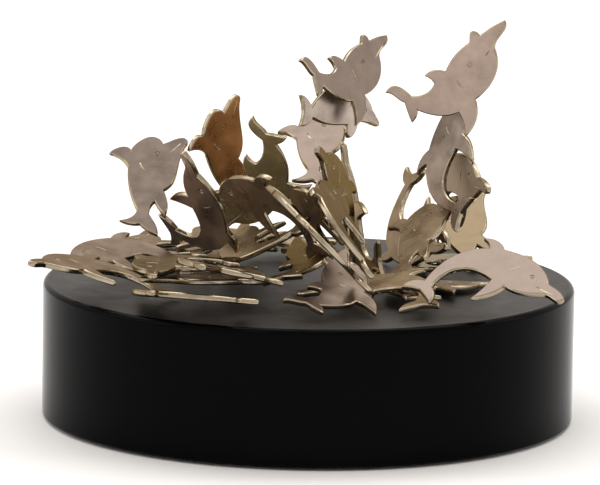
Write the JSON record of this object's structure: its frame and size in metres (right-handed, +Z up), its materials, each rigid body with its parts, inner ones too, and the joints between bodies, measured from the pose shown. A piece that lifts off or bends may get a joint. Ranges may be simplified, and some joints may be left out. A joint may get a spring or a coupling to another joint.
{
  "type": "magnetic desk sculpture",
  "caption": "Round black magnetic base with a pile of loose stamped steel dolphins that stand, lean and lie on it and on each other.",
  "frame": {"origin": "centre of the felt face that the base stands on", "axes": "+Z up through the base, -Y towards the front of the pile, +X to the right"},
  "size_m": [0.0961, 0.106, 0.0729],
  "materials": {
    "black_plastic": "gloss black ABS, satin on the top face",
    "nickel_plate": "nickel plated stamped steel, tumbled",
    "ferrite": "sintered ferrite, dull dark grey",
    "zinc_steel": "zinc plated sheet steel",
    "foam": "closed cell foam",
    "cover_plastic": "black ABS, light texture",
    "screw_steel": "zinc plated steel",
    "felt": "black wool felt"
  },
  "bodies": {
    "base": {"base_shell": "black_plastic", "ring_magnet": "ferrite", "steel_backing_plate": "zinc_steel", "foam_spacer": "foam", "bottom_cover": "cover_plastic", "cover_screws": "screw_steel", "felt_pad": "felt"},
    "dolphin_left_standing": {"dolphin_left_standing": "nickel_plate"},
    "dolphin_left_prop": {"dolphin_left_prop": "nickel_plate"},
    "dolphin_left_tall": {"dolphin_left_tall": "nickel_plate"},
    "dolphin_left_inner": {"dolphin_left_inner": "nickel_plate"},
    "dolphin_centre_tail_up": {"dolphin_centre_tail_up": "nickel_plate"},
    "dolphin_centre_left": {"dolphin_centre_left": "nickel_plate"},
    "dolphin_centre_top": {"dolphin_centre_top": "nickel_plate"},
    "dolphin_centre_second": {"dolphin_centre_second": "nickel_plate"},
    "dolphin_centre_third": {"dolphin_centre_third": "nickel_plate"},
    "dolphin_centre_upright": {"dolphin_centre_upright": "nickel_plate"},
    "dolphin_right_top": {"dolphin_right_top": "nickel_plate"},
    "dolphin_right_second": {"dolphin_right_second": "nickel_plate"},
    "dolphin_right_diving": {"dolphin_right_diving": "nickel_plate"},
    "dolphin_right_back": {"dolphin_right_back": "nickel_plate"},
    "dolphin_right_tail_up": {"dolphin_right_tail_up": "nickel_plate"},
    "dolphin_right_leaning": {"dolphin_right_leaning": "nickel_plate"},
    "dolphin_front_right": {"dolphin_front_right": "nickel_plate"},
    "dolphin_front_right_under": {"dolphin_front_right_under": "nickel_plate"},
    "dolphin_front_centre": {"dolphin_front_centre": "nickel_plate"},
    "dolphin_front_curled": {"dolphin_front_curled": "nickel_plate"},
    "dolphin_left_lying": {"dolphin_left_lying": "nickel_plate"},
    "dolphin_left_rim": {"dolphin_left_rim": "nickel_plate"},
    "dolphin_left_low": {"dolphin_left_low": "nickel_plate"},
    "dolphin_front_left_edge": {"dolphin_front_left_edge": "nickel_plate"},
    "dolphin_front_left_flat": {"dolphin_front_left_flat": "nickel_plate"},
    "dolphin_front_left_sloping": {"dolphin_front_left_sloping": "nickel_plate"},
    "dolphin_centre_blade": {"dolphin_centre_blade": "nickel_plate"},
    "dolphin_centre_edge_on": {"dolphin_centre_edge_on": "nickel_plate"},
    "dolphin_centre_inner": {"dolphin_centre_inner": "nickel_plate"},
    "dolphin_centre_low": {"dolphin_centre_low": "nickel_plate"},
    "dolphin_left_back": {"dolphin_left_back": "nickel_plate"},
    "dolphin_back_right": {"dolphin_back_right": "nickel_plate"},
    "dolphin_right_foot": {"dolphin_right_foot": "nickel_plate"},
    "dolphin_back_centre": {"dolphin_back_centre": "nickel_plate"},
    "dolphin_centre_foot": {"dolphin_centre_foot": "nickel_plate"},
    "dolphin_back_left": {"dolphin_back_left": "nickel_plate"},
    "dolphin_centre_dark": {"dolphin_centre_dark": "nickel_plate"}
  },
  "joints": [
    {"name": "lift_dolphin_left_standing", "type": "slide", "parent": "dolphin_left_inner", "child": "dolphin_left_standing", "axis": [-0.6645, -0.2418, 0.7071], "range_m": [0, 0.024]},
    {"name": "lift_dolphin_left_prop", "type": "slide", "parent": "base", "child": "dolphin_left_prop", "axis": [-0.5, 0.866, 0], "range_m": [0, 0.024]},
    {"name": "lift_dolphin_left_tall", "type": "slide", "parent": "base", "child": "dolphin_left_tall", "axis": [0.2113, 0.366, 0.9063], "range_m": [0, 0.024]},
    {"name": "lift_dolphin_left_inner", "type": "slide", "parent": "dolphin_centre_low", "child": "dolphin_left_inner", "axis": [-0.6645, -0.2418, 0.7071], "range_m": [0, 0.024]},
    {"name": "lift_dolphin_centre_tail_up", "type": "slide", "parent": "dolphin_centre_low", "child": "dolphin_centre_tail_up", "axis": [-0.2113, -0.366, 0.9063], "range_m": [0, 0.024]},
    {"name": "lift_dolphin_centre_left", "type": "slide", "parent": "dolphin_centre_low", "child": "dolphin_centre_left", "axis": [-0.5417, -0.4545, 0.7071], "range_m": [0, 0.024]},
    {"name": "lift_dolphin_centre_top", "type": "slide", "parent": "base", "child": "dolphin_centre_top", "axis": [0.3536, 0.6124, 0.7071], "range_m": [0, 0.024]},
    {"name": "lift_dolphin_centre_second", "type": "slide", "parent": "base", "child": "dolphin_centre_second", "axis": [0.1228, 0.6964, 0.7071], "range_m": [0, 0.024]},
    {"name": "lift_dolphin_centre_third", "type": "slide", "parent": "dolphin_centre_upright", "child": "dolphin_centre_third", "axis": [-0.1228, 0.6964, 0.7071], "range_m": [0, 0.024]},
    {"name": "lift_dolphin_centre_upright", "type": "slide", "parent": "base", "child": "dolphin_centre_upright", "axis": [-0.1574, 0.8925, 0.4226], "range_m": [0, 0.024]},
    {"name": "lift_dolphin_right_top", "type": "slide", "parent": "dolphin_right_second", "child": "dolphin_right_top", "axis": [0.7071, 0, 0.7071], "range_m": [0, 0.024]},
    {"name": "lift_dolphin_right_second", "type": "slide", "parent": "base", "child": "dolphin_right_second", "axis": [0, 0, 1], "range_m": [0, 0.024]},
    {"name": "lift_dolphin_right_diving", "type": "slide", "parent": "dolphin_right_leaning", "child": "dolphin_right_diving", "axis": [0.9192, 0.3345, 0.2079], "range_m": [0, 0.024]},
    {"name": "lift_dolphin_right_back", "type": "slide", "parent": "dolphin_right_diving", "child": "dolphin_right_back", "axis": [0.6943, 0.5826, 0.4226], "range_m": [0, 0.024]},
    {"name": "lift_dolphin_right_tail_up", "type": "slide", "parent": "base", "child": "dolphin_right_tail_up", "axis": [-0.2113, 0.366, 0.9063], "range_m": [0, 0.024]},
    {"name": "lift_dolphin_right_leaning", "type": "slide", "parent": "base", "child": "dolphin_right_leaning", "axis": [0.9192, 0.3345, 0.2079], "range_m": [0, 0.024]},
    {"name": "lift_dolphin_front_right", "type": "slide", "parent": "base", "child": "dolphin_front_right", "axis": [0.7493, -0.6287, 0.2079], "range_m": [0, 0.024]},
    {"name": "lift_dolphin_front_right_under", "type": "slide", "parent": "dolphin_front_curled", "child": "dolphin_front_right_under", "axis": [0.9397, 0.342, 0], "range_m": [0, 0.024]},
    {"name": "lift_dolphin_front_centre", "type": "slide", "parent": "base", "child": "dolphin_front_centre", "axis": [-0.5, -0.866, 0], "range_m": [0, 0.024]},
    {"name": "lift_dolphin_front_curled", "type": "slide", "parent": "base", "child": "dolphin_front_curled", "axis": [0.9397, -0.342, 0], "range_m": [0, 0.024]},
    {"name": "lift_dolphin_left_lying", "type": "slide", "parent": "base", "child": "dolphin_left_lying", "axis": [-0.9063, 0, 0.4226], "range_m": [0, 0.024]},
    {"name": "lift_dolphin_left_rim", "type": "slide", "parent": "base", "child": "dolphin_left_rim", "axis": [-0.7493, -0.6287, 0.2079], "range_m": [0, 0.024]},
    {"name": "lift_dolphin_left_low", "type": "slide", "parent": "dolphin_front_left_flat", "child": "dolphin_left_low", "axis": [-0.9781, 0, 0.2079], "range_m": [0, 0.024]},
    {"name": "lift_dolphin_front_left_edge", "type": "slide", "parent": "dolphin_left_rim", "child": "dolphin_front_left_edge", "axis": [-0.4891, -0.8471, 0.2079], "range_m": [0, 0.024]},
    {"name": "lift_dolphin_front_left_flat", "type": "slide", "parent": "dolphin_centre_foot", "child": "dolphin_front_left_flat", "axis": [-0.1574, -0.8925, 0.4226], "range_m": [0, 0.024]},
    {"name": "lift_dolphin_front_left_sloping", "type": "slide", "parent": "dolphin_front_left_flat", "child": "dolphin_front_left_sloping", "axis": [-0.3536, -0.6124, 0.7071], "range_m": [0, 0.024]},
    {"name": "lift_dolphin_centre_blade", "type": "slide", "parent": "dolphin_centre_left", "child": "dolphin_centre_blade", "axis": [-0.4532, -0.7849, 0.4226], "range_m": [0, 0.024]},
    {"name": "lift_dolphin_centre_edge_on", "type": "slide", "parent": "base", "child": "dolphin_centre_edge_on", "axis": [0.3536, -0.6124, 0.7071], "range_m": [0, 0.024]},
    {"name": "lift_dolphin_centre_inner", "type": "slide", "parent": "dolphin_centre_dark", "child": "dolphin_centre_inner", "axis": [-0.8517, -0.31, 0.4226], "range_m": [0, 0.024]},
    {"name": "lift_dolphin_centre_low", "type": "slide", "parent": "dolphin_centre_foot", "child": "dolphin_centre_low", "axis": [-0.8517, -0.31, 0.4226], "range_m": [0, 0.024]},
    {"name": "lift_dolphin_left_back", "type": "slide", "parent": "base", "child": "dolphin_left_back", "axis": [-0.5, 0.866, 0], "range_m": [0, 0.024]},
    {"name": "lift_dolphin_back_right", "type": "slide", "parent": "base", "child": "dolphin_back_right", "axis": [0.3536, 0.6124, 0.7071], "range_m": [0, 0.024]},
    {"name": "lift_dolphin_right_foot", "type": "slide", "parent": "base", "child": "dolphin_right_foot", "axis": [0.766, 0.6428, 0], "range_m": [0, 0.024]},
    {"name": "lift_dolphin_back_centre", "type": "slide", "parent": "base", "child": "dolphin_back_centre", "axis": [0.5, 0.866, 0], "range_m": [0, 0.024]},
    {"name": "lift_dolphin_centre_foot", "type": "slide", "parent": "dolphin_centre_inner", "child": "dolphin_centre_foot", "axis": [-0.5417, -0.4545, 0.7071], "range_m": [0, 0.024]},
    {"name": "lift_dolphin_back_left", "type": "slide", "parent": "base", "child": "dolphin_back_left", "axis": [-0.1736, 0.9848, 0], "range_m": [0, 0.024]},
    {"name": "lift_dolphin_centre_dark", "type": "slide", "parent": "base", "child": "dolphin_centre_dark", "axis": [-0.5417, -0.4545, 0.7071], "range_m": [0, 0.024]}
  ]
}
